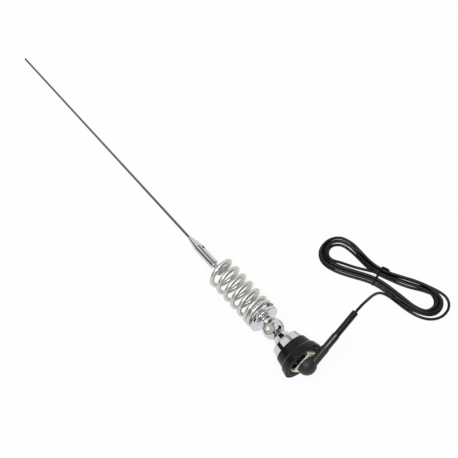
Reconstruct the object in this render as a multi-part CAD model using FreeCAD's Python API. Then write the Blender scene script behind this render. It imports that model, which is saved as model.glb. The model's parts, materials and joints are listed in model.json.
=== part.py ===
import FreeCAD, Part
import math
import os
from FreeCAD import Vector

os.makedirs("parts", exist_ok=True)

# A loaded quarter-wave whip for a vehicle body, lying on its rim and its tip.
# Every piece is drawn upright about the Z axis, from the panel seat (height 0)
# to the tip, and one placement then lays them all down.
# A roll angle counts from the side where the cable leaves towards straight up.

# Whip and holder
whip_tip = 564.0
whip_diameter = 3.0
whip_tip_diameter = 2.3
whip_taper_start = 236.0
whip_foot = 176.0
holder_foot = 161.3
holder_shoulder = 192.5
holder_nose = 210.0
holder_diameter = 11.4
holder_nose_diameter = 4.6
holder_spigot_diameter = 7.2
holder_bore_floor = 168.0
holder_edge = 0.8
set_screw_height = 187.0
set_screw_roll = 49.0
set_screw_diameter = 4.0
set_screw_sunk = 0.6
set_screw_key = 2.0

# Loading coil, wound right-handed with close turns at its foot and an eye at its head
wire_diameter = 5.5
coil_diameter = 38.4
coil_start_roll = 25.0
close_pitch = 5.55
open_pitch = 12.65
turns_before_opening = 1.2
opening_turns = 1.2
turns_before_closing = 6.95
closing_turns = 0.5
eye_inner_diameter = 5.2
eye_turns = 0.7
points_per_turn = 24
eye_screw_diameter = 4.0
eye_screw_reach = 6.0
eye_screw_head_diameter = 9.2
eye_screw_head_height = 3.6
eye_screw_slot = 1.2

# Split-ball knuckle
ball_height = 52.8
ball_diameter = 25.8
hinge_roll = 126.0
flange_diameter = 37.8
flange_bottom = 67.5
flange_thickness = 4.8
flange_edge = 1.6
neck_diameter = 15.0
neck_flare_diameter = 27.0
coil_boss_height = 4.0
cone_top = 43.5
cone_top_diameter = 15.4
cone_bottom_diameter = 25.4
hinge_screw_diameter = 8.0
hinge_screw_head_diameter = 12.2
hinge_screw_head_height = 4.6
hinge_screw_key = 6.0
hinge_screw_key_depth = 3.0
hinge_thread_depth = 9.4
counterbore_diameter = 14.2
counterbore_floor = 5.0
spring_washer_thickness = 1.2
lock_washer_diameter = 21.0
lock_washer_thickness = 0.75

# Base: chrome cup on a black moulded skirt
base_top = 21.8
rim_diameter = 52.4
rim_edge = 0.9
skirt_top = 8.4
skirt_top_diameter = 49.2
shoulder_top = 10.8
band_bottom_diameter = 45.2
band_top_diameter = 41.2
band_edge = 0.6
rim_wall = 1.3
rim_groove_width = 0.9
seal_width = 4.6
seal_thickness = 3.0
seal_step = 0.4
recess_depth = 9.0
cup_bottom_diameter = 39.0
cup_top_diameter = 36.4
cup_height = 11.0
cup_edge = 3.0
cup_recess_depth = 2.0
cup_plate_thickness = 3.6
cup_wall = 3.9
base_boss_height = 2.2

# Stud and what it clamps
stud_diameter = 8.0
stud_top = 38.0
stud_bottom = -11.0
bush_flange_diameter = 20.0
bush_flange_thickness = 4.0
bush_upper_diameter = 13.6
bush_lower_diameter = 12.0
bracket_underside = -3.4
bracket_sheet = 2.0
bracket_width = 19.0
bracket_teeth = 5
bracket_tooth_top = 3.6
bracket_tooth_depth = 2.2
bracket_tooth_flat = 0.8
bracket_bend = 1.2
bracket_roll = 36.0
stud_washer_diameter = 17.0
stud_washer_thickness = 1.5
tag_thickness = 1.0
tag_diameter = 13.0
tag_tab_width = 5.0
tag_tab_reach = 8.8
tag_hole_diameter = 2.2
nut_flats = 13.0
nut_height = 4.0

# Rubber boot, sleeves and cable
boot_diameter = 22.8
boot_straight = 3.0
boot_crown = -17.4
boot_wall = 1.5
nozzle_diameter = 10.4
nozzle_roll = 25.7
nozzle_lean = 5.0
nozzle_reach = 28.9
nozzle_socket = 17.0
near_sleeve_diameter = 9.2
near_sleeve_end = 47.9
far_sleeve_diameter = 7.8
far_sleeve_bend_radius = 18.0
far_sleeve_turn = 19.3
far_sleeve_straight = 28.4
sleeve_lean_to_tip = 0.26
sleeve_droop = 0.966
sleeve_edge = 0.8
cable_diameter = 3.4
cable_socket = 6.0
arc_share = 0.45

# Cable route, from the floor point under the panel seat: hand-laid points
lead_out = 9.0
cable_route = [
    (-6.4, 100.0, 47.0),
    (-9.4, 114.0, 39.0),
    (-9.4, 126.0, 27.0),
    (-3.6, 135.0, 14.5),
    (7.4, 140.4, 6.5),
    (21.0, 144.6, 2.4),
    (34.4, 149.4, 1.8),
    (45.2, 157.4, 1.8),
    (50.6, 168.6, 1.8),
    (49.8, 180.2, 1.8),
    (44.4, 188.6, 1.9),
    (35.6, 192.2, 2.3),
    (25.8, 190.2, 3.2),
    (16.0, 183.8, 4.4),
    (5.6, 177.0, 4.4),
]

# Hank: a flat loop of cable drawn in at the middle by a tie
hank_centre = (-38.0, 145.0)
hank_turn = 19.4
hank_height = 9.3
hank_bundle = 10.5
hank_waist = 24.0
hank_waist_round = 30.0
hank_left_reach = 50.0
hank_left_diameter = 48.0
hank_right_reach = 69.0
hank_right_diameter = 36.0
hank_gap_start = 15.0
hank_edge = 2.4
farthest_crossing = 5000.0
crossing_tolerance = 1e-9
tie_width = 2.4
tie_thickness = 1.0

# Clearances, each on the radius or between two faces
running_gap = 0.05
thread_gap = 0.03
slip_gap = 0.1
ball_gap = 0.6
cone_gap = 0.6
claw_gap = 1.65
tie_gap = 0.1

# Heights and radii that follow
flange_top = flange_bottom + flange_thickness
wire_radius = wire_diameter / 2
coil_radius = (coil_diameter - wire_diameter) / 2
coil_foot = flange_top + wire_radius
eye_radius = (eye_inner_diameter + wire_diameter) / 2
coil_end = turns_before_closing + closing_turns + eye_turns
coil_boss_radius = coil_radius - wire_radius - slip_gap
ball_radius = ball_diameter / 2
split_gap = lock_washer_thickness + running_gap
rim_inside = rim_diameter / 2 - rim_wall
seal_outer_radius = rim_inside - rim_groove_width
seal_inner_radius = seal_outer_radius - seal_width
recess_radius = seal_inner_radius - seal_step
bracket_half_length = math.sqrt((seal_inner_radius - claw_gap)**2 - (bracket_width / 2)**2)
cup_top = base_top + cup_height
cup_floor = cup_top - cup_recess_depth
cup_recess_radius = cone_bottom_diameter / 2 + cone_gap
cup_inner_radius = cup_bottom_diameter / 2 - cup_wall
stud_radius = stud_diameter / 2
bush_top = base_top + base_boss_height
bush_bottom = bracket_underside
tag_top = bracket_underside - stud_washer_thickness
nut_top = tag_top - tag_thickness
bracket_outer_bend = bracket_bend + bracket_sheet
bracket_flat_end = bracket_half_length - bracket_outer_bend
nozzle_rise = math.tan(math.radians(nozzle_lean))
nozzle_top = nozzle_diameter / 2 / math.cos(math.radians(nozzle_lean)) + slip_gap
nozzle_height = bracket_underside - nozzle_top - bracket_flat_end * nozzle_rise


def roll_direction(roll):
    angle = math.radians(roll)
    return Vector(-math.cos(angle), math.sin(angle), 0)


def ramp(x):
    x = min(max(x, 0.0), 1.0)
    return 3 * x**2 - 2 * x**3


def ramp_area(x):
    inside = min(max(x, 0.0), 1.0)
    return inside**3 - inside**4 / 2 + max(x - 1.0, 0.0)


def turned(outline):
    """A solid of revolution. A point is (radius, height); an arc adds the point it passes first."""
    edges = []
    last = Vector(outline[0][0], 0, outline[0][1])
    for step in outline[1:] + outline[:1]:
        end = Vector(step[-2], 0, step[-1])
        if len(step) == 4:
            edges.append(Part.Arc(last, Vector(step[0], 0, step[1]), end).toShape())
        else:
            edges.append(Part.LineSegment(last, end).toShape())
        last = end
    face = Part.Face(Part.Wire(edges))
    return face.revolve(Vector(0, 0, 0), Vector(0, 0, 1), 360)


def rod(radius, start, end):
    return Part.makeCylinder(radius, (end - start).Length, start, end - start)


def upright_rod(radius, low, high):
    return rod(radius, Vector(0, 0, low), Vector(0, 0, high))


def hexagon_rod(flats, start, direction, length):
    """A hexagonal prism along a direction, for nuts and key sockets."""
    corner = flats / math.sqrt(3)
    points = [Vector(corner * math.cos(a), corner * math.sin(a), 0)
              for a in (math.radians(60 * i) for i in range(7))]
    prism = Part.Face(Part.makePolygon(points)).extrude(Vector(0, 0, length))
    prism.Placement = FreeCAD.Placement(start, FreeCAD.Rotation(Vector(0, 0, 1), direction))
    return prism


def corner_arc(centre, radius, middle_angle):
    """The point at an angle, in degrees, on a rounded corner about a centre."""
    angle = math.radians(middle_angle)
    return (centre[0] + radius * math.cos(angle), centre[1] + radius * math.sin(angle))


def whip_rod():
    foot = whip_diameter / 2
    tip = whip_tip_diameter / 2
    crown = corner_arc((0, whip_tip - tip), tip, 45)
    return turned([(0, whip_foot), (foot, whip_foot), (foot, whip_taper_start), (tip, whip_tip - tip),
                   (*crown, 0, whip_tip)])


def set_screw_axis(distance):
    return Vector(0, 0, set_screw_height) + roll_direction(set_screw_roll) * distance


def rod_holder():
    body = holder_diameter / 2
    nose = holder_nose_diameter / 2
    spigot = holder_spigot_diameter / 2
    holder = turned([(0, eye_top), (spigot, eye_top), (spigot, holder_foot), (body - holder_edge, holder_foot),
                     (body, holder_foot + holder_edge), (body, holder_shoulder), (nose, holder_nose),
                     (0, holder_nose)])
    bore = upright_rod(whip_diameter / 2 + running_gap, holder_bore_floor, holder_nose)
    eye_thread = upright_rod(eye_screw_diameter / 2 + thread_gap, eye_top, eye_top + eye_screw_reach)
    set_thread = rod(set_screw_diameter / 2 + thread_gap, set_screw_axis(0), set_screw_axis(body))
    return holder.cut(bore).cut(eye_thread).cut(set_thread)


def rod_set_screw():
    inner = whip_diameter / 2 + running_gap
    outer = holder_diameter / 2 - set_screw_sunk
    screw = rod(set_screw_diameter / 2, set_screw_axis(inner), set_screw_axis(outer))
    key_depth = (outer - inner) / 2
    socket = hexagon_rod(set_screw_key, set_screw_axis(outer - key_depth),
                         roll_direction(set_screw_roll), key_depth)
    return screw.cut(socket)


def coil_height(turn):
    opening = ramp_area((turn - turns_before_opening) / opening_turns) * opening_turns
    closing = ramp_area((turn - turns_before_closing) / closing_turns) * closing_turns
    return coil_foot + close_pitch * turn + (open_pitch - close_pitch) * opening - open_pitch * closing


def coil_point(turn):
    drawn_in = ramp((turn - turns_before_closing) / closing_turns)
    radius = coil_radius - (coil_radius - eye_radius) * drawn_in
    return roll_direction(coil_start_roll - 360 * turn) * radius + Vector(0, 0, coil_height(turn))


eye_top = coil_height(coil_end) + wire_radius
eye_underside = coil_height(coil_end) - wire_radius


def loading_coil():
    steps = round(coil_end * points_per_turn)
    path = Part.BSplineCurve()
    path.interpolate([coil_point(coil_end * i / steps) for i in range(steps + 1)])
    start = path.value(path.FirstParameter)
    section = Part.Circle(start, path.tangent(path.FirstParameter)[0], wire_radius)
    return Part.Wire(path.toShape()).makePipeShell([Part.Wire(section.toShape())], True, True)


def coil_eye_screw():
    head = eye_screw_head_diameter / 2
    shank = eye_screw_diameter / 2
    head_bottom = eye_underside - eye_screw_head_height
    crown = eye_screw_head_height / 3
    screw = turned([(0, head_bottom), (head / 2, head_bottom + crown / 4, head, head_bottom + crown),
                    (head, eye_underside), (shank, eye_underside), (shank, eye_top + eye_screw_reach),
                    (0, eye_top + eye_screw_reach)])
    slot = Part.makeBox(2 * head, eye_screw_slot, eye_screw_head_height / 2,
                        Vector(-head, -eye_screw_slot / 2, head_bottom))
    return screw.cut(slot)


ball_centre = Vector(0, 0, ball_height)
hinge = roll_direction(hinge_roll)


def hinge_point(distance):
    return ball_centre + hinge * distance


def hinge_rod(radius, start, end):
    return rod(radius, hinge_point(start), hinge_point(end))


def hinge_side(start, direction):
    """Everything near the knuckle on one side of a plane across the hinge axis."""
    reach = flange_diameter
    return hinge_rod(reach, start, start + direction * reach)


def upper_knuckle():
    neck = neck_diameter / 2
    flare = neck_flare_diameter / 2
    rim = flange_diameter / 2
    neck_foot = ball_height + math.sqrt(ball_radius**2 - neck**2) - flange_edge
    waist = corner_arc((flare, neck_foot), flare - neck, 135)
    low_edge = corner_arc((rim - flange_edge, flange_bottom + flange_edge), flange_edge, -45)
    high_edge = corner_arc((rim - flange_edge, flange_top - flange_edge), flange_edge, 45)
    flange = turned([(0, neck_foot), (neck, neck_foot), (*waist, flare, flange_bottom),
                     (rim - flange_edge, flange_bottom), (*low_edge, rim, flange_bottom + flange_edge),
                     (rim, flange_top - flange_edge), (*high_edge, rim - flange_edge, flange_top),
                     (coil_boss_radius, flange_top), (coil_boss_radius, flange_top + coil_boss_height),
                     (0, flange_top + coil_boss_height)])
    relief = Part.makeSphere(ball_radius + ball_gap, ball_centre).common(hinge_side(split_gap / 2, -1))
    half_ball = Part.makeSphere(ball_radius, ball_centre).common(hinge_side(split_gap / 2, 1))
    head_room = hinge_rod(counterbore_diameter / 2, counterbore_floor, ball_radius)
    pivot_hole = hinge_rod(hinge_screw_diameter / 2 + running_gap, 0, counterbore_floor)
    return flange.cut(relief).fuse(half_ball).cut(head_room).cut(pivot_hole).removeSplitter()


def lower_knuckle():
    foot = cone_bottom_diameter / 2
    head = cone_top_diameter / 2
    inside_ball = ball_height - ball_radius / 2
    cone = turned([(0, cup_floor), (foot, cup_floor), (foot, cup_top), (head, cone_top),
                   (head, inside_ball), (0, inside_ball)])
    relief = Part.makeSphere(ball_radius + ball_gap, ball_centre).common(hinge_side(-split_gap / 2, 1))
    half_ball = Part.makeSphere(ball_radius, ball_centre).common(hinge_side(-split_gap / 2, -1))
    stud_thread = upright_rod(stud_radius + thread_gap, cup_floor, stud_top)
    hinge_thread = hinge_rod(hinge_screw_diameter / 2 + thread_gap, 0, -hinge_thread_depth)
    return cone.cut(relief).fuse(half_ball).cut(stud_thread).cut(hinge_thread).removeSplitter()


head_seat = counterbore_floor + running_gap + spring_washer_thickness


def knuckle_screw():
    head_end = head_seat + hinge_screw_head_height
    shank = hinge_rod(hinge_screw_diameter / 2, -hinge_thread_depth, head_seat)
    head = hinge_rod(hinge_screw_head_diameter / 2, head_seat, head_end)
    socket = hexagon_rod(hinge_screw_key, hinge_point(head_end - hinge_screw_key_depth), hinge,
                         hinge_screw_key_depth)
    return shank.fuse(head).cut(socket).removeSplitter()


def knuckle_spring_washer():
    washer = hinge_rod(hinge_screw_head_diameter / 2, head_seat - spring_washer_thickness, head_seat)
    return washer.cut(hinge_rod(hinge_screw_diameter / 2 + slip_gap, 0, head_seat))


def knuckle_lock_washer():
    washer = hinge_rod(lock_washer_diameter / 2, -split_gap / 2, -split_gap / 2 + lock_washer_thickness)
    return washer.cut(hinge_rod(hinge_screw_diameter / 2 + slip_gap, -split_gap, split_gap))


def chrome_cup():
    foot = cup_bottom_diameter / 2
    brow = cup_top_diameter / 2
    hole = stud_radius + slip_gap
    plate = cup_floor - cup_plate_thickness
    edge = corner_arc((brow - cup_edge, cup_top - cup_edge), cup_edge, 45)
    return turned([(cup_inner_radius, base_top), (foot, base_top), (brow, cup_top - cup_edge),
                   (*edge, brow - cup_edge, cup_top), (cup_recess_radius, cup_top),
                   (cup_recess_radius, cup_floor), (hole, cup_floor), (hole, plate),
                   (cup_inner_radius, plate)])


def base_skirt():
    rim = rim_diameter / 2
    band = band_top_diameter / 2
    boss = cup_inner_radius - slip_gap
    bush = bush_upper_diameter / 2 + slip_gap
    low_edge = corner_arc((rim - rim_edge, rim_edge), rim_edge, -45)
    top_edge = corner_arc((band - band_edge, base_top - band_edge), band_edge, 45)
    return turned([(rim_inside, 0), (rim - rim_edge, 0), (*low_edge, rim, rim_edge),
                   (skirt_top_diameter / 2, skirt_top), (band_bottom_diameter / 2, shoulder_top),
                   (band, base_top - band_edge), (*top_edge, band - band_edge, base_top),
                   (boss, base_top), (boss, bush_top), (bush, bush_top), (bush, recess_depth),
                   (recess_radius, recess_depth), (recess_radius, seal_thickness), (rim_inside, seal_thickness)])


def seal_ring():
    return turned([(seal_inner_radius, 0), (seal_outer_radius, 0), (seal_outer_radius, seal_thickness),
                   (seal_inner_radius, seal_thickness)])


def centre_stud():
    return upright_rod(stud_radius, stud_bottom, stud_top)


def insulating_bush():
    hole = stud_radius + slip_gap
    flange = bush_flange_diameter / 2
    upper = bush_upper_diameter / 2
    lower = bush_lower_diameter / 2
    flange_foot = recess_depth - bush_flange_thickness
    return turned([(hole, bush_bottom), (lower, bush_bottom), (lower, flange_foot), (flange, flange_foot),
                   (flange, recess_depth), (upper, recess_depth), (upper, bush_top), (hole, bush_top)])


def claw_bracket():
    half = bracket_half_length
    low = bracket_underside
    outer_bend = bracket_outer_bend
    strip = []
    last = Vector(-half, 0, bracket_tooth_top)
    corners = [
        ((-half, low + outer_bend), None),
        ((-half + outer_bend, low), corner_arc((-half + outer_bend, low + outer_bend), outer_bend, 225)),
        ((half - outer_bend, low), None),
        ((half, low + outer_bend), corner_arc((half - outer_bend, low + outer_bend), outer_bend, 315)),
        ((half, bracket_tooth_top), None),
        ((half - bracket_sheet, bracket_tooth_top), None),
        ((half - bracket_sheet, low + outer_bend), None),
        ((half - outer_bend, low + bracket_sheet),
         corner_arc((half - outer_bend, low + outer_bend), bracket_bend, 315)),
        ((-half + outer_bend, low + bracket_sheet), None),
        ((-half + bracket_sheet, low + outer_bend),
         corner_arc((-half + outer_bend, low + outer_bend), bracket_bend, 225)),
        ((-half + bracket_sheet, bracket_tooth_top), None),
        ((-half, bracket_tooth_top), None),
    ]
    for (x, z), middle in corners:
        end = Vector(x, 0, z)
        if middle is None:
            strip.append(Part.LineSegment(last, end).toShape())
        else:
            strip.append(Part.Arc(last, Vector(middle[0], 0, middle[1]), end).toShape())
        last = end
    bracket = Part.Face(Part.Wire(strip)).extrude(Vector(0, bracket_width, 0))
    bracket.translate(Vector(0, -bracket_width / 2, 0))
    tooth_pitch = bracket_width / bracket_teeth
    notch_half = (tooth_pitch - bracket_tooth_flat) / 2
    for i in range(1, bracket_teeth):
        middle = i * tooth_pitch - bracket_width / 2
        notch = [Vector(-half, middle - notch_half, bracket_tooth_top),
                 Vector(-half, middle + notch_half, bracket_tooth_top),
                 Vector(-half, middle, bracket_tooth_top - bracket_tooth_depth),
                 Vector(-half, middle - notch_half, bracket_tooth_top)]
        bracket = bracket.cut(Part.Face(Part.makePolygon(notch)).extrude(Vector(2 * half, 0, 0)))
    bracket = bracket.cut(upright_rod(bush_lower_diameter / 2 + slip_gap, low, low + bracket_sheet))
    bracket.rotate(Vector(0, 0, 0), Vector(0, 0, 1), 180 - bracket_roll)
    return bracket


def stud_washer():
    washer = upright_rod(stud_washer_diameter / 2, tag_top, bracket_underside)
    return washer.cut(upright_rod(stud_radius + slip_gap, tag_top, bracket_underside))


def solder_tag():
    ring = upright_rod(tag_diameter / 2, nut_top, tag_top)
    tab = Part.makeBox(tag_tab_reach, tag_tab_width, tag_thickness,
                       Vector(0, -tag_tab_width / 2, nut_top))
    tab.rotate(Vector(0, 0, 0), Vector(0, 0, 1), 180 - nozzle_roll)
    wire_place = roll_direction(nozzle_roll) * (tag_tab_reach - tag_hole_diameter)
    wire_hole = upright_rod(tag_hole_diameter / 2, nut_top, tag_top)
    wire_hole.translate(wire_place)
    stud_hole = upright_rod(stud_radius + slip_gap, nut_top, tag_top)
    return ring.fuse(tab).cut(stud_hole).cut(wire_hole).removeSplitter()


def stud_nut():
    corner = nut_flats / math.sqrt(3)
    nut = hexagon_rod(nut_flats, Vector(0, 0, nut_top - nut_height), Vector(0, 0, 1), nut_height)
    drop = (corner - nut_flats / 2) / 2
    bevelled = turned([(0, nut_top - nut_height), (nut_flats / 2, nut_top - nut_height),
                       (corner, nut_top - nut_height + drop), (corner, nut_top), (0, nut_top)])
    return nut.common(bevelled).cut(upright_rod(stud_radius + thread_gap, nut_top - nut_height, nut_top))


def nozzle_direction():
    return (roll_direction(nozzle_roll) + Vector(0, 0, nozzle_rise)).normalize()


def nozzle_point(distance):
    return Vector(0, 0, nozzle_height) + nozzle_direction() * distance


def rubber_boot():
    outer = boot_diameter / 2
    dome_foot = bracket_underside - boot_straight
    dome = corner_arc((0, 0), 1.0, -45)
    inner = outer - boot_wall
    outside = turned([(0, boot_crown), (dome[0] * outer, dome_foot + dome[1] * (dome_foot - boot_crown),
                                        outer, dome_foot),
                      (outer, bracket_underside), (0, bracket_underside)])
    crown_inside = boot_crown + 2 * boot_wall
    inside = turned([(0, crown_inside), (dome[0] * inner, dome_foot + dome[1] * (dome_foot - crown_inside),
                                         inner, dome_foot),
                     (inner, bracket_underside), (0, bracket_underside)])
    nozzle = rod(nozzle_diameter / 2, nozzle_point(0), nozzle_point(nozzle_reach))
    boot = outside.fuse(nozzle).removeSplitter()
    socket = rod(near_sleeve_diameter / 2 + slip_gap, nozzle_point(nozzle_reach - nozzle_socket),
                 nozzle_point(nozzle_reach))
    return boot.cut(inside).cut(socket)


def near_sleeve():
    start = nozzle_point(nozzle_reach - nozzle_socket)
    end = nozzle_point(near_sleeve_end)
    sleeve = rod(near_sleeve_diameter / 2, start, end)
    return sleeve.cut(rod(far_sleeve_diameter / 2 + slip_gap, start, end))


def far_sleeve_frame():
    """Where the far sleeve starts to bend, its direction there and the side it bends to."""
    along = nozzle_direction()
    level = roll_direction(90)
    side = Vector(0, 0, sleeve_lean_to_tip) - level * sleeve_droop
    side = side - along * side.dot(along)
    return nozzle_point(near_sleeve_end), along, side.normalize()


def far_sleeve_mouth():
    """The middle of the far sleeve's mouth and its direction there."""
    start, along, side = far_sleeve_frame()
    turn = math.radians(far_sleeve_turn)
    direction = along * math.cos(turn) + side * math.sin(turn)
    bend_end = start + (along * math.sin(turn) + side * (1 - math.cos(turn))) * far_sleeve_bend_radius
    return bend_end + direction * far_sleeve_straight, direction


def far_sleeve():
    start, along, side = far_sleeve_frame()
    inner = nozzle_point(nozzle_reach - nozzle_socket)
    end, direction = far_sleeve_mouth()
    radius = far_sleeve_diameter / 2
    hidden = rod(radius, inner, start)
    section = Part.Face(Part.Wire(Part.Circle(start, along, radius).toShape()))
    bend = section.revolve(start + side * far_sleeve_bend_radius, along.cross(side), far_sleeve_turn)
    shown = rod(radius, end - direction * far_sleeve_straight, end)
    sleeve = hidden.fuse([bend, shown]).removeSplitter()
    lip = [edge for edge in sleeve.Edges if (edge.CenterOfMass - end).Length < sleeve_edge]
    sleeve = sleeve.makeFillet(sleeve_edge, lip)
    return sleeve.cut(rod(cable_diameter / 2, end - direction * cable_socket, end))


def rounded_path(points):
    """Straight runs joined by tangent arcs as large as the runs allow, and the arcs' radii."""
    edges = []
    radii = []
    last = points[0]
    for before, corner, after in zip(points, points[1:], points[2:]):
        incoming = corner - before
        outgoing = after - corner
        turn = incoming.getAngle(outgoing)
        cut = arc_share * min(incoming.Length, outgoing.Length)
        radii.append(cut / math.tan(turn / 2))
        arc_start = corner - incoming.normalize() * cut
        arc_end = corner + outgoing.normalize() * cut
        inward = (arc_start + arc_end) * 0.5 - corner
        sagitta = math.sqrt(radii[-1]**2 + cut**2) - radii[-1]
        edges.append(Part.LineSegment(last, arc_start).toShape())
        edges.append(Part.Arc(arc_start, corner + inward.normalize() * sagitta, arc_end).toShape())
        last = arc_end
    edges.append(Part.LineSegment(last, points[-1]).toShape())
    return Part.Wire(edges), radii


def coax_cable(points):
    path, radii = rounded_path(points)
    section = Part.Circle(points[0], points[1] - points[0], cable_diameter / 2)
    cable = path.makePipeShell([Part.Wire(section.toShape())], True, True)
    expected = math.pi * cable_diameter**2 / 4 * path.Length
    print("cable arc radii", [round(radius, 1) for radius in radii])
    print("cable run", round(path.Length, 1), "volume ratio", round(cable.Volume / expected, 4))
    return cable


def lobe(reach, diameter, point):
    """A teardrop: a round end about a centre on the X axis, and two flanks that meet at a point."""
    radius = diameter / 2
    away = reach - point
    sign = 1 if away > 0 else -1
    lean = math.asin(radius / abs(away))
    touch_x = reach - sign * radius * math.sin(lean)
    touch_y = radius * math.cos(lean)
    tip = Vector(point, 0, 0)
    upper = Vector(touch_x, touch_y, 0)
    lower = Vector(touch_x, -touch_y, 0)
    edges = [Part.LineSegment(tip, upper).toShape(),
             Part.Arc(upper, Vector(reach + sign * radius, 0, 0), lower).toShape(),
             Part.LineSegment(lower, tip).toShape()]
    return Part.Face(Part.Wire(edges))


def crossing_point(reach, diameter):
    """Where a lobe's flanks would meet past the waist, so that they are a waist apart at the middle."""
    low, high = 0.0, farthest_crossing
    while high - low > crossing_tolerance:
        past = (low + high) / 2
        lean = math.asin(diameter / 2 / (reach + past))
        if past * math.tan(lean) < hank_waist / 2:
            low = past
        else:
            high = past
    return past


def hank_place(shape):
    shape.rotate(Vector(0, 0, 0), Vector(0, 0, 1), hank_turn)
    shape.translate(Vector(hank_centre[0], hank_centre[1], 0))
    return shape


def waist_core(width, inset):
    """A rounded block across the waist, smaller than the hank's section there by an inset all round."""
    block = Part.makeBox(width, hank_waist - 2 * inset, hank_height - 2 * inset,
                         Vector(-width / 2, inset - hank_waist / 2, inset))
    corners = [edge for edge in block.Edges if edge.BoundBox.XLength > width / 2]
    return block.makeFillet(hank_edge - inset, corners)


def cable_hank():
    upward = Vector(0, 0, hank_height)
    solid = None
    for reach, diameter, sign in ((hank_left_reach, hank_left_diameter, -1),
                                  (hank_right_reach, hank_right_diameter, 1)):
        past = crossing_point(reach, diameter)
        outside = lobe(sign * reach, diameter, -sign * past).extrude(upward)
        side = Part.makeBox(2 * reach, 2 * diameter, hank_height,
                            Vector(min(0, sign * 2 * reach), -diameter, 0))
        half = outside.common(side)
        hole = lobe(sign * reach, diameter - 2 * hank_bundle, sign * hank_gap_start).extrude(upward)
        half = half.cut(hole)
        solid = half if solid is None else solid.fuse(half)
    solid = solid.removeSplitter()
    waist = [edge for edge in solid.Edges
             if abs(edge.CenterOfMass.x) < tie_gap and edge.BoundBox.ZLength > hank_height / 2]
    solid = solid.makeFillet(hank_waist_round, waist)
    groove_width = tie_width + 2 * tie_gap
    groove = Part.makeBox(groove_width, 2 * hank_waist, hank_height, Vector(-groove_width / 2, -hank_waist, 0))
    groove = groove.cut(waist_core(hank_waist, tie_thickness + tie_gap))
    return hank_place(solid.cut(groove))


def hank_tie():
    return hank_place(waist_core(tie_width, 0).cut(waist_core(hank_waist, tie_thickness)))


# The fall from the rim to the tip, with the coil clear of the floor
tip_fall = math.atan((rim_diameter - whip_tip_diameter) / 2 / (whip_tip - rim_edge))
coil_fall = math.atan((rim_diameter - coil_diameter) / 2 / (coil_height(turns_before_closing) - rim_edge))
fall = min(tip_fall, coil_fall)

turning = FreeCAD.Matrix(0, -math.sin(fall), -math.cos(fall), 0,
                         -1, 0, 0, 0,
                         0, math.cos(fall), -math.sin(fall), 0,
                         0, 0, 0, 1)
lying = FreeCAD.Placement(turning)

pieces = {
    "whip_rod": whip_rod(),
    "rod_holder": rod_holder(),
    "rod_set_screw": rod_set_screw(),
    "loading_coil": loading_coil(),
    "coil_eye_screw": coil_eye_screw(),
    "upper_knuckle": upper_knuckle(),
    "lower_knuckle": lower_knuckle(),
    "knuckle_screw": knuckle_screw(),
    "knuckle_spring_washer": knuckle_spring_washer(),
    "knuckle_lock_washer": knuckle_lock_washer(),
    "chrome_cup": chrome_cup(),
    "base_skirt": base_skirt(),
    "seal_ring": seal_ring(),
    "centre_stud": centre_stud(),
    "insulating_bush": insulating_bush(),
    "claw_bracket": claw_bracket(),
    "stud_washer": stud_washer(),
    "solder_tag": solder_tag(),
    "stud_nut": stud_nut(),
    "rubber_boot": rubber_boot(),
}
sleeves = {"near_sleeve": near_sleeve(), "far_sleeve": far_sleeve()}

# The box of the antenna without its cable stands on the origin by the middle of its underside
for shape in list(pieces.values()) + list(sleeves.values()):
    shape.Placement = lying.multiply(shape.Placement)
box = Part.makeCompound(list(pieces.values())).optimalBoundingBox(False)
shift = Vector(-box.Center.x, -box.Center.y, -box.ZMin)
for shape in list(pieces.values()) + list(sleeves.values()):
    shape.translate(shift)

seat = lying.multVec(Vector(0, 0, 0)) + shift
floor_mark = Vector(seat.x, seat.y, 0)
sleeve_end, sleeve_direction = far_sleeve_mouth()
cable_exit = lying.multVec(sleeve_end) + shift
cable_direction = lying.Rotation.multVec(sleeve_direction)
route = [cable_exit - cable_direction * cable_socket, cable_exit + cable_direction * lead_out]
route += [floor_mark + Vector(*point) for point in cable_route]

cords = {"coax_cable": coax_cable(route), "cable_hank": cable_hank(), "hank_tie": hank_tie()}
for name in ("cable_hank", "hank_tie"):
    cords[name].translate(floor_mark)

for name, shape in {**pieces, **sleeves, **cords}.items():
    shape.exportStep(f"parts/{name}.step")
    print(name, "solids", len(shape.Solids), "valid", shape.isValid(), "cm3", round(shape.Volume / 1000, 3))
print("fall", round(math.degrees(fall), 4), "seat", seat, "exit", cable_exit, cable_direction)
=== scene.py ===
import bpy
import json
import math
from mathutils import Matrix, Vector


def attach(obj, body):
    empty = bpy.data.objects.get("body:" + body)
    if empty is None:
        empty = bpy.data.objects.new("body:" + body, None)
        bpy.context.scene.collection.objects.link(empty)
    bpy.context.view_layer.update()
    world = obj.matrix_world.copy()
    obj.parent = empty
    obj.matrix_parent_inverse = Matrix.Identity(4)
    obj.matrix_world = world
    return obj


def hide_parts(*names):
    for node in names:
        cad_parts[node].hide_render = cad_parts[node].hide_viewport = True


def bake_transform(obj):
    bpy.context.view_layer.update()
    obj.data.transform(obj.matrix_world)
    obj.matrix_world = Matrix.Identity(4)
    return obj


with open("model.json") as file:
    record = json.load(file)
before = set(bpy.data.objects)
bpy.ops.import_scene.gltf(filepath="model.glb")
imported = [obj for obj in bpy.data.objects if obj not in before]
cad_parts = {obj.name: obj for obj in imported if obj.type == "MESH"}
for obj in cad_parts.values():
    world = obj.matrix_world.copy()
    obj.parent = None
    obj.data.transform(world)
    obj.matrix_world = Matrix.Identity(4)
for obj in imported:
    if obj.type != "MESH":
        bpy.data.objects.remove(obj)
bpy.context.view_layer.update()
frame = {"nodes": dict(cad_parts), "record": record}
mm = 0.001  # lengths in the dictionaries below are millimetres, and angles are degrees

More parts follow.
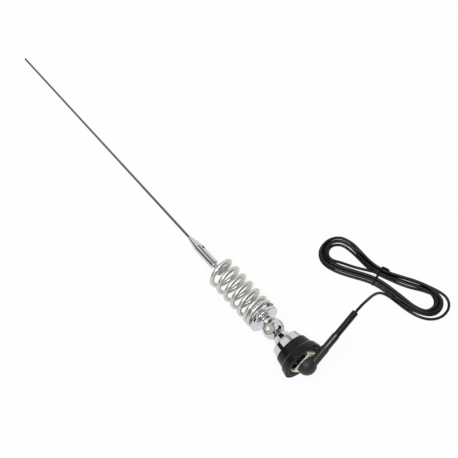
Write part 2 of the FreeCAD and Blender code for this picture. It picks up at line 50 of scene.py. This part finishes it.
# The antenna's own axis: heights run from the panel seat to the tip, rolls from the cable's side upwards
seat = next(m for m in frame["record"]["mounts"] if m["name"] == "panel_seat")
seatPoint = Vector(seat["pos_m"])
tipward = -Vector(seat["axis"]).normalized()
cableward = Vector((0, 1, 0))
skyward = cableward.cross(tipward).normalized()
floorMark = Vector((seatPoint.x, seatPoint.y, 0))  # on the floor, under the seat
axisFall = math.atan2(-tipward.z, -tipward.x)  # slope of the axis


def onAxis(height, radius=0.0, roll=0.0):
    around = cableward * math.cos(math.radians(roll)) + skyward * math.sin(math.radians(roll))
    return seatPoint + tipward * (height * mm) + around * (radius * mm)


# Colours are written as sRGB hex
def linear(hexCode):
    channels = [int(hexCode[i:i + 2], 16) / 255 for i in (1, 3, 5)]
    return [c / 12.92 if c <= 0.04045 else ((c + 0.055) / 1.055) ** 2.4 for c in channels] + [1.0]


# One node with its settings, and links given as input name -> output socket
def addNode(material, kind, links=None, **settings):
    node = material.node_tree.nodes.new(kind)
    for key, value in settings.items():
        if hasattr(node, key):
            setattr(node, key, value)
        else:
            node.inputs[key.replace("_", " ")].default_value = value
    for key, socket in (links or {}).items():
        material.node_tree.links.new(socket, node.inputs[key])
    return node


def newMaterial(name, **sockets):
    material = bpy.data.materials.new(name)
    material.use_nodes = True
    shader = material.node_tree.nodes["Principled BSDF"]
    for key, value in sockets.items():
        shader.inputs[key.replace("_", " ")].default_value = value
    return material, shader


def useSocket(material, taker, name, socket):
    material.node_tree.links.new(socket, taker.inputs[name])


# A texture's scale for grains of a size in millimetres
def grain(size):
    return 1 / (size * mm)


print("frame loaded,", len(frame["nodes"]), "nodes")

# Camera at the photograph's angle, placed from the floor point under the seat
camera = {
    "azimuth": 51.413, "elevation": 60.911, "place": (379.8, -410.0, 1325.9),
    "lens": 98.25, "sensor": 36.0, "farClip": 50000.0,
}
bpy.ops.object.camera_add()
cameraObject = bpy.context.object
azimuth = math.radians(camera["azimuth"])
elevation = math.radians(camera["elevation"])
back = Vector((math.sin(azimuth) * math.cos(elevation), -math.cos(azimuth) * math.cos(elevation),
               math.sin(elevation)))
cameraObject.location = floorMark + Vector(camera["place"]) * mm
cameraObject.rotation_euler = (-back).to_track_quat("-Z", "Y").to_euler()
cameraObject.data.lens = camera["lens"]
cameraObject.data.sensor_width = camera["sensor"]
cameraObject.data.clip_end = camera["farClip"] * mm
bpy.context.scene.camera = cameraObject

# Cable: the lead from the sleeve, then the turns of the hank on the same line
cable = {
    "diameter": 3.4,
    "length": 2160.0,
    "roundness": 4,
    # the far sleeve's mouth and the way it points
    "exit": (271.264, 75.3887, 52.0059),
    "direction": (-0.19333, 0.97458, 0.11323),
    "socket": 6.0,  # starts this far inside the sleeve
    "leadOut": 9.0,  # and leaves it straight for this far
    # from the floor point under the seat
    "lead": [(-6.4, 100.0, 47.0), (-9.4, 114.0, 39.0), (-9.4, 126.0, 27.0), (-3.6, 135.0, 14.5),
             (7.4, 140.4, 6.5), (21.0, 144.6, 2.4), (34.4, 149.4, 1.8), (45.2, 157.4, 1.8),
             (50.6, 168.6, 1.8), (49.8, 180.2, 1.8), (44.4, 188.6, 1.9), (35.6, 192.2, 2.3),
             (25.8, 190.2, 3.2)],
    "hankCentre": (-38.0, 145.0),
    "hankTurn": 19.4,
    "layer": 2.94,  # rise from one layer of strands to the next
    "floorGap": 0.1,
    # along and across the hank: outermost strand, innermost strand, then lift at the tie and side
    "stations": [
        ((61.0, 21.6), (58.6, 13.6), 0.0, "upper"),
        ((39.3, 19.5), (40.0, 7.4), 0.0, "upper"),
        ((14.0, 11.6), (14.0, 4.2), 0.6, "upper"),
        ((0.0, 10.6), (0.0, 3.4), 1.2, "upper"),
        ((-13.0, 13.0), (-14.0, 5.2), 0.6, "upper"),
        ((-27.0, 18.6), (-27.5, 10.2), 0.0, "upper"),
        ((-45.0, 25.6), (-42.6, 14.8), 0.0, "left"),
        ((-62.6, 24.6), (-55.0, 15.8), 0.0, "left"),
        ((-73.4, 11.0), (-64.4, 8.4), 0.0, "left"),
        ((-73.6, -7.0), (-64.2, -3.0), 0.0, "left"),
        ((-62.0, -19.4), (-54.0, -11.0), 0.0, "left"),
        ((-42.0, -19.8), (-42.0, -10.8), 0.0, "lower"),
        ((-22.0, -15.4), (-21.0, -6.4), 0.0, "lower"),
        ((-8.0, -12.0), (-8.0, -3.4), 0.6, "lower"),
        ((5.0, -10.4), (5.0, -2.2), 1.2, "lower"),
        ((22.0, -11.6), (21.0, -3.4), 0.6, "lower"),
        ((46.0, -16.4), (45.0, -7.8), 0.0, "lower"),
        ((68.0, -15.6), (62.0, -11.2), 0.0, "right"),
        ((83.0, -9.6), (73.4, -9.2), 0.0, "right"),
        ((87.6, 4.4), (79.4, 2.4), 0.0, "right"),
        ((80.0, 18.0), (73.2, 12.8), 0.0, "right"),
    ],
    # place across the bundle (0 outside, 2 inside) and layer, on each side of the hank
    "turns": [
        {"upper": (0.0, 0.0), "left": (0.1, 0.0), "lower": (0.0, 0.0), "right": (0.0, 0.0)},
        {"upper": (1.0, 0.0), "left": (0.9, 0.0), "lower": (1.1, 0.0), "right": (1.0, 0.0)},
        {"upper": (2.0, 0.0), "left": (2.0, 0.0), "lower": (2.0, 0.0), "right": (2.0, 0.0)},
        {"upper": (1.5, 1.0), "left": (1.3, 1.0), "lower": (1.5, 1.0), "right": (1.5, 1.0)},
        {"upper": (0.5, 1.0), "left": (0.4, 1.0), "lower": (0.6, 1.0), "right": (0.5, 1.0)},
        {"upper": (0.6, 2.0), "left": (1.7, 2.0)},
    ],
    # the last strand leaves the left loop on its inner side and crosses over at the tie
    "tail": [(-42.0, -7.4, 5.6), (-31.0, -4.2, 3.0), (-20.0, -1.2, 2.6), (-9.0, 1.2, 4.6),
             (3.0, 3.2, 7.4), (15.0, 5.0, 6.6), (27.0, 8.4, 5.6)],
}


# Along the hank, across it and up from the floor
def hankPoint(u, v, z):
    turn = math.radians(cable["hankTurn"])
    x = cable["hankCentre"][0] + u * math.cos(turn) - v * math.sin(turn)
    y = cable["hankCentre"][1] + u * math.sin(turn) + v * math.cos(turn)
    return floorMark + Vector((x, y, z)) * mm


def strandPoint(station, turnPlan):
    outer, inner, lift, side = station
    across, layer = turnPlan[side]
    u = outer[0] + (inner[0] - outer[0]) * across / 2
    v = outer[1] + (inner[1] - outer[1]) * across / 2
    lowest = cable["diameter"] / 2 + cable["floorGap"]
    return hankPoint(u, v, lowest + lift + layer * cable["layer"])


# Open smooth lines through space, given a round section
def roundLine(name, routes, radius, roundness):
    curve = bpy.data.curves.new(name, "CURVE")
    curve.dimensions = "3D"
    for route in routes:
        line = curve.splines.new("NURBS")
        line.points.add(len(route) - 1)
        for point, place in zip(line.points, route):
            point.co = (*place, 1)
            point.radius = radius
        line.order_u = 3
        line.use_endpoint_u = True
        line.resolution_u = 6
    curve.bevel_depth = 1.0  # times each point's radius
    curve.bevel_resolution = roundness
    curve.use_fill_caps = True
    piece = bpy.data.objects.new(name, curve)
    bpy.context.scene.collection.objects.link(piece)
    return piece


sharpEdge = math.radians(40)  # what bends more than this is an edge


def makeMesh(piece):
    bpy.ops.object.select_all(action="DESELECT")
    piece.select_set(True)
    bpy.context.view_layer.objects.active = piece
    bpy.ops.object.convert(target="MESH")
    bpy.ops.object.shade_smooth_by_angle(angle=sharpEdge)
    return bpy.context.object


cableExit = Vector(cable["exit"]) * mm
exitDirection = Vector(cable["direction"]).normalized()
cablePoints = [cableExit - exitDirection * cable["socket"] * mm]
cablePoints.append(cableExit + exitDirection * cable["leadOut"] * mm)
cablePoints += [floorMark + Vector(p) * mm for p in cable["lead"]]
for turnPlan in cable["turns"]:
    cablePoints += [strandPoint(s, turnPlan) for s in cable["stations"] if s[3] in turnPlan]
cablePoints += [hankPoint(*p) for p in cable["tail"]]
lead = roundLine("coaxLead", [cablePoints], cable["diameter"] * mm / 2, cable["roundness"])
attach(lead, "base")
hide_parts("coax_cable", "cable_hank")
print("cable laid,", len(cablePoints), "points")

# Twist tie: a covered wire round the waist of the hank, its two ends twisted together on the upper strands
tie = {
    "along": 3.2,
    "wire": 1.5,
    "roundness": 3,
    # across the hank and up from the floor
    "ring": [(8.6, 11.6), (11.6, 10.0), (13.4, 6.4), (13.0, 2.0), (9.6, 0.8), (0.0, 0.8), (-9.4, 0.8),
             (-12.8, 1.8), (-13.2, 5.0), (-10.6, 8.4), (-6.4, 9.9), (-1.6, 10.9), (3.6, 10.9), (6.8, 11.9),
             (9.0, 11.4)],
    "knot": [(3.4, 9.2, 11.9), (7.4, 11.6, 11.4), (12.6, 10.4, 10.4)],
    "twists": 3.0,
    "twistRadius": 0.85,
    "twistPoints": 22,
}


def twistedEnd(phase):
    first, middle, last = [Vector(p) for p in tie["knot"]]
    route = []
    for i in range(tie["twistPoints"] + 1):
        t = i / tie["twistPoints"]
        spine = first * (1 - t) ** 2 + middle * (2 * t * (1 - t)) + last * t ** 2
        angle = 2 * math.pi * tie["twists"] * t + phase
        across = Vector((0, math.cos(angle), math.sin(angle))) * tie["twistRadius"]
        route.append(hankPoint(*(spine + across)))
    return route


tieRing = [hankPoint(tie["along"], v, z) for v, z in tie["ring"]]
tieRoutes = [tieRing, twistedEnd(0.0), twistedEnd(math.pi)]
twistTie = makeMesh(roundLine("twistTie", tieRoutes, tie["wire"] * mm / 2, tie["roundness"]))
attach(twistTie, "base")
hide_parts("hank_tie")
print("tie twisted")

# Loading coil: round wire swept along its turns, so that its drawn streaks can follow it
coil = {
    "wire": 5.5, "diameter": 38.4, "flangeTop": 72.3, "startRoll": 25.0,
    "closePitch": 5.55, "openPitch": 12.65,
    # counted in turns from the foot
    "beforeOpening": 1.2, "opening": 1.2, "beforeClosing": 6.95, "closing": 0.5, "eye": 0.7,
    "eyeInside": 5.2,
    # where the real coil flexes: from the end of the foot's close turns, over the open ones
    "stiffTurns": 1.2, "closeTurns": 2, "openTurns": 5,
    "pointsPerTurn": 24, "roundness": 8,
}


# Eases from 0 to 1
def ramp(x):
    x = min(max(x, 0.0), 1.0)
    return 3 * x ** 2 - 2 * x ** 3


# What that ease adds up to, so that the pitch changes gently
def rampArea(x):
    inside = min(max(x, 0.0), 1.0)
    return inside ** 3 - inside ** 4 / 2 + max(x - 1.0, 0.0)


def coilPoint(turn):
    opened = rampArea((turn - coil["beforeOpening"]) / coil["opening"]) * coil["opening"]
    closed = rampArea((turn - coil["beforeClosing"]) / coil["closing"]) * coil["closing"]
    height = coil["flangeTop"] + coil["wire"] / 2 + coil["closePitch"] * turn
    height += (coil["openPitch"] - coil["closePitch"]) * opened - coil["openPitch"] * closed
    outside = (coil["diameter"] - coil["wire"]) / 2
    eye = (coil["eyeInside"] + coil["wire"]) / 2
    drawnIn = ramp((turn - coil["beforeClosing"]) / coil["closing"])
    return onAxis(height, outside - (outside - eye) * drawnIn, coil["startRoll"] - 360 * turn)


coilEnd = coil["beforeClosing"] + coil["closing"] + coil["eye"]
coilSteps = round(coilEnd * coil["pointsPerTurn"])
coilRoute = [coilPoint(coilEnd * i / coilSteps) for i in range(coilSteps + 1)]
springCoil = makeMesh(roundLine("springCoil", [coilRoute], coil["wire"] * mm / 2, coil["roundness"]))
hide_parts("loading_coil")
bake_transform(springCoil)
print("coil wound,", len(springCoil.data.polygons), "faces")

# Depth of the surface relief: of drawing marks, and of moulded, cast or plated grain
drawnDepth = 0.05 * mm
grainDepth = 0.2 * mm

# Polished chrome plate: a hard mirror, blurred a little by wipe marks
chromeWipe = {"size": 5.0, "clear": 0.03, "blurred": 0.1}
chrome, shader = newMaterial("polishedChrome", Base_Color=linear("#cccdce"), Metallic=1.0)
place = addNode(chrome, "ShaderNodeTexCoord")
wipes = addNode(chrome, "ShaderNodeTexNoise", {"Vector": place.outputs["Object"]},
                Scale=grain(chromeWipe["size"]), Detail=4.0)
gloss = addNode(chrome, "ShaderNodeMapRange", {"Value": wipes.outputs["Fac"]},
                To_Min=chromeWipe["clear"], To_Max=chromeWipe["blurred"])
useSocket(chrome, shader, "Roughness", gloss.outputs["Result"])

# Drawn and polished stainless rod: dark, with fine lines along it that stretch its glints.
# Real lines are under 0.1 mm, and these are coarser so that they show
rodLine = {"width": 0.4, "length": 20.0, "clear": 0.1, "dull": 0.3}
stainless, shader = newMaterial("drawnStainless", Base_Color=linear("#6e6d6b"), Metallic=1.0)
place = addNode(stainless, "ShaderNodeTexCoord")
turned = addNode(stainless, "ShaderNodeMapping", {"Vector": place.outputs["Object"]},
                 Rotation=(0, axisFall, 0), Scale=(rodLine["width"] / rodLine["length"], 1, 1))
lines = addNode(stainless, "ShaderNodeTexNoise", {"Vector": turned.outputs["Vector"]},
                Scale=grain(rodLine["width"]), Detail=3.0)
gloss = addNode(stainless, "ShaderNodeMapRange", {"Value": lines.outputs["Fac"]},
                To_Min=rodLine["clear"], To_Max=rodLine["dull"])
useSocket(stainless, shader, "Roughness", gloss.outputs["Result"])
relief = addNode(stainless, "ShaderNodeBump", {"Height": lines.outputs["Fac"]},
                 Strength=0.08, Distance=drawnDepth)
useSocket(stainless, shader, "Normal", relief.outputs["Normal"])

# Plated spring wire: satin and slightly warm, with broken drawing marks along the wire.
# The map runs once along the wire and once round it. The marks are coarser than real so that they show
wireMark = {"length": 16.26, "width": 0.864, "clear": 0.3, "dull": 0.36}
wireLength = sum((b - a).length for a, b in zip(coilRoute, coilRoute[1:])) / mm
wire, shader = newMaterial("satinSpringWire", Metallic=1.0)
place = addNode(wire, "ShaderNodeTexCoord")
along = addNode(wire, "ShaderNodeMapping", {"Vector": place.outputs["UV"]},
                Scale=(wireLength / wireMark["length"], math.pi * coil["wire"] / wireMark["width"], 1))
marks = addNode(wire, "ShaderNodeTexNoise", {"Vector": along.outputs["Vector"]}, Scale=1.0, Detail=4.0)
tone = addNode(wire, "ShaderNodeValToRGB", {"Fac": marks.outputs["Fac"]})
tone.color_ramp.elements[0].position = 0.35
tone.color_ramp.elements[0].color = linear("#c4c3bf")
tone.color_ramp.elements[1].position = 0.65
tone.color_ramp.elements[1].color = linear("#dad9d6")
useSocket(wire, shader, "Base Color", tone.outputs["Color"])
gloss = addNode(wire, "ShaderNodeMapRange", {"Value": marks.outputs["Fac"]},
                To_Min=wireMark["clear"], To_Max=wireMark["dull"])
useSocket(wire, shader, "Roughness", gloss.outputs["Result"])
relief = addNode(wire, "ShaderNodeBump", {"Height": marks.outputs["Fac"]}, Strength=0.02, Distance=drawnDepth)
useSocket(wire, shader, "Normal", relief.outputs["Normal"])


# A metal or plastic whose tone, roughness and surface vary with one grain, of a size in millimetres
def grained(name, dark, light, size, roughness, strength, metallic=0.0, ior=1.5):
    material, shader = newMaterial(name, Metallic=metallic, IOR=ior)
    place = addNode(material, "ShaderNodeTexCoord")
    noise = addNode(material, "ShaderNodeTexNoise", {"Vector": place.outputs["Object"]},
                    Scale=grain(size), Detail=3.0)
    tone = addNode(material, "ShaderNodeValToRGB", {"Fac": noise.outputs["Fac"]})
    tone.color_ramp.elements[0].position = 0.3
    tone.color_ramp.elements[0].color = linear(dark)
    tone.color_ramp.elements[1].position = 0.7
    tone.color_ramp.elements[1].color = linear(light)
    useSocket(material, shader, "Base Color", tone.outputs["Color"])
    rough = addNode(material, "ShaderNodeMapRange", {"Value": noise.outputs["Fac"]},
                    To_Min=roughness[0], To_Max=roughness[1])
    useSocket(material, shader, "Roughness", rough.outputs["Result"])
    relief = addNode(material, "ShaderNodeBump", {"Height": noise.outputs["Fac"]},
                     Strength=strength, Distance=grainDepth)
    useSocket(material, shader, "Normal", relief.outputs["Normal"])
    return material


finishes = {
    "stainless_rod": stainless,
    "chrome_plate": chrome,
    "coil_wire": wire,
    # turned bronze, pale and dull beside the plated parts
    "bronze_screw": grained("dullBronze", "#b5afa5", "#d3cec6", 1.2, (0.25, 0.38), 0.05, metallic=1.0),
    # oil-blackened steel, a dark spot in the bright holder
    "blackened_screw": grained("blackenedSteel", "#1b1b1c", "#2d2d2e", 0.8, (0.35, 0.5), 0.05,
                               metallic=1.0),
    # bright nickel with a warm cast
    "nickel_screw": grained("brightNickel", "#c6c3bd", "#dcd9d3", 2.0, (0.22, 0.32), 0.02, metallic=1.0),
    # nylon moulded black, its sheen broken by a fine spark-eroded grain
    "black_moulding": grained("mouldedNylon", "#0a0a0b", "#101011", 0.5, (0.26, 0.38), 0.15, ior=1.3),
    # cellular neoprene, matte and a little blue
    "grey_rubber": grained("neopreneSeal", "#22282b", "#2d3437", 0.7, (0.6, 0.75), 0.3, ior=1.3),
    # pressed phenolic, brown-black and flat
    "insulator": grained("phenolicInsulator", "#181613", "#211d19", 1.0, (0.45, 0.6), 0.1),
    # yellow passivated zinc plate, which runs from straw to cream in soft patches
    "yellow_zinc": grained("passivatedZinc", "#f1e2c9", "#fbf6e0", 6.0, (0.22, 0.36), 0.03, metallic=0.35),
    # tinned brass, a soft grey shine over yellow
    "tinned_brass": grained("tinnedBrass", "#a79f86", "#c2bba6", 2.0, (0.25, 0.4), 0.03, metallic=1.0),
    # moulded rubber, greyed by a slight bloom
    "boot_rubber": grained("mouldedRubber", "#1f2021", "#292a2b", 1.6, (0.36, 0.46), 0.1, ior=1.4),
    # shrunk polyolefin tube, with a sharp streak where it is tight
    "sleeve_gloss": grained("shrunkTubeGlossy", "#0a0b0c", "#101113", 5.0, (0.1, 0.18), 0.06, ior=1.46),
    # the same tube shrunk less, with a fainter streak
    "sleeve_satin": grained("shrunkTubeSatin", "#090a0a", "#0f1011", 3.0, (0.13, 0.2), 0.05, ior=1.36),
    # smooth extruded vinyl, with a thin line of light on each strand
    "cable_jacket": grained("pvcJacket", "#070808", "#0c0d0e", 4.0, (0.28, 0.33), 0.005, ior=1.34),
    # soft vinyl over the tie's wire, slightly rough
    "tie_plastic": grained("tieCover", "#0b0b0c", "#131314", 1.0, (0.3, 0.45), 0.1, ior=1.3),
}
# sawn ends of the coil's wire, duller than its drawn sides
sawnEnd = grained("sawnWireEnd", "#6f6d68", "#85837e", 0.6, (0.5, 0.6), 0.1, metallic=1.0)

for part in frame["record"]["subparts"]:
    node = frame["nodes"][part["node"]]
    node.data.materials.clear()
    node.data.materials.append(finishes[part["material_slot"]])
lead.data.materials.append(finishes["cable_jacket"])
twistTie.data.materials.append(finishes["tie_plastic"])
springCoil.data.materials.append(finishes["coil_wire"])
springCoil.data.materials.append(sawnEnd)
for face in springCoil.data.polygons:
    face.material_index = int(face.loop_total == 3)  # the end caps are the only triangles
print("finishes set,", len(finishes) + 1, "materials")

# Floor, light tent and lamps, with grey and dark cards for the plated parts to mirror
stage = {
    "centre": (-60.0, 40.0, 0.0),
    "floorSize": 8000.0,
    "skyLight": 0.6,
    "floorGlow": 0.92,
    "lamps": [
        {"name": "softKey", "place": (-160.0, -60.0, 1500.0), "size": (550.0, 550.0), "power": 3.5},
        # puts the streaks on the sleeves
        {"name": "frontLamp", "place": (100.0, -680.0, 1340.0), "size": (1000.0, 200.0), "power": 8.0},
    ],
    # place from the centre, width, height, grey
    "cards": [
        ((-494.0, -156.0, 1186.0), 1800.0, 500.0, "#a0a09e"),  # overhead, towards the tip
        ((-545.0, 436.0, 1053.0), 190.0, 720.0, "#a5a5a3"),  # two that carry it on round the holder
        ((-545.0, -744.0, 942.0), 190.0, 820.0, "#a5a5a3"),
        ((-560.0, -1080.0, 372.0), 1900.0, 560.0, "#262627"),  # dark, along the front
        ((-1150.0, 40.0, 480.0), 900.0, 500.0, "#202122"),  # dark, beyond the tip
        ((1000.0, -640.0, 620.0), 400.0, 800.0, "#1c1d1f"),  # three dark bars beyond the base
        ((1050.0, 120.0, 620.0), 750.0, 800.0, "#1c1d1f"),
        ((700.0, 860.0, 520.0), 900.0, 800.0, "#28292b"),
    ],
}
stageCentre = floorMark + Vector(stage["centre"]) * mm


# 1 for what the camera sees, directly, mirrored or through something, and 0 for what lights the surfaces
def seenRays(owner):
    path = addNode(owner, "ShaderNodeLightPath")
    either = addNode(owner, "ShaderNodeMath",
                     {0: path.outputs["Is Camera Ray"], 1: path.outputs["Is Glossy Ray"]},
                     operation="MAXIMUM")
    return addNode(owner, "ShaderNodeMath", {0: either.outputs[0], 1: path.outputs["Is Transmission Ray"]},
                   operation="MAXIMUM")


# Turned to face the middle of the stage
def aimAtCentre(item, place):
    item.location = stageCentre + Vector(place) * mm
    item.rotation_euler = (stageCentre - item.location).to_track_quat("-Z", "Y").to_euler()


bpy.ops.object.select_all(action="DESELECT")
bpy.ops.mesh.primitive_plane_add(size=stage["floorSize"] * mm)
floor = bpy.context.object
floor.name = "floor"
# White paper: keeps the object's shadow under a glow that makes it the white of the background
paper, shader = newMaterial("whitePaper", Base_Color=linear("#f4f4f4"), Roughness=0.9)
seen = seenRays(paper)
share = addNode(paper, "ShaderNodeMath", {0: seen.outputs[0]}, operation="MULTIPLY")
share.inputs[1].default_value = stage["floorGlow"]
glow = addNode(paper, "ShaderNodeEmission", Strength=1.0)
mixed = addNode(paper, "ShaderNodeMixShader",
                {0: share.outputs[0], 1: shader.outputs["BSDF"], 2: glow.outputs["Emission"]})
useSocket(paper, paper.node_tree.nodes["Material Output"], "Surface", mixed.outputs["Shader"])
floor.data.materials.append(paper)

world = bpy.data.worlds.new("lightTent")
world.use_nodes = True
bpy.context.scene.world = world
sky = world.node_tree.nodes["Background"]
sky.inputs["Color"].default_value = (1, 1, 1, 1)
sky.inputs["Strength"].default_value = stage["skyLight"]
white = addNode(world, "ShaderNodeBackground", Color=(1, 1, 1, 1), Strength=1.0)
seen = seenRays(world)
mixed = addNode(world, "ShaderNodeMixShader",
                {0: seen.outputs[0], 1: sky.outputs["Background"], 2: white.outputs["Background"]})
useSocket(world, world.node_tree.nodes["World Output"], "Surface", mixed.outputs["Shader"])

for lampPlan in stage["lamps"]:
    bpy.ops.object.light_add(type="AREA")
    lamp = bpy.context.object
    lamp.name = lampPlan["name"]
    lamp.data.shape = "RECTANGLE"
    lamp.data.size = lampPlan["size"][0] * mm
    lamp.data.size_y = lampPlan["size"][1] * mm
    lamp.data.energy = lampPlan["power"]
    aimAtCentre(lamp, lampPlan["place"])

# The cards are seen in mirrors only, and neither light nor shade anything
for number, (place, width, height, grey) in enumerate(stage["cards"]):
    bpy.ops.object.select_all(action="DESELECT")
    bpy.ops.mesh.primitive_plane_add(size=1)
    card = bpy.context.object
    card.name = "card%d" % number
    card.scale = (width * mm, height * mm, 1)
    aimAtCentre(card, place)
    cloth, shader = newMaterial("cardCloth%d" % number)
    glow = addNode(cloth, "ShaderNodeEmission", Color=linear(grey), Strength=1.0)
    useSocket(cloth, cloth.node_tree.nodes["Material Output"], "Surface", glow.outputs["Emission"])
    card.data.materials.append(cloth)
    card.visible_camera = False
    card.visible_diffuse = False
    card.visible_shadow = False
    card.visible_transmission = False
bpy.context.scene.view_settings.view_transform = "Standard"
print("stage lit")

bpy.context.view_layer.update()
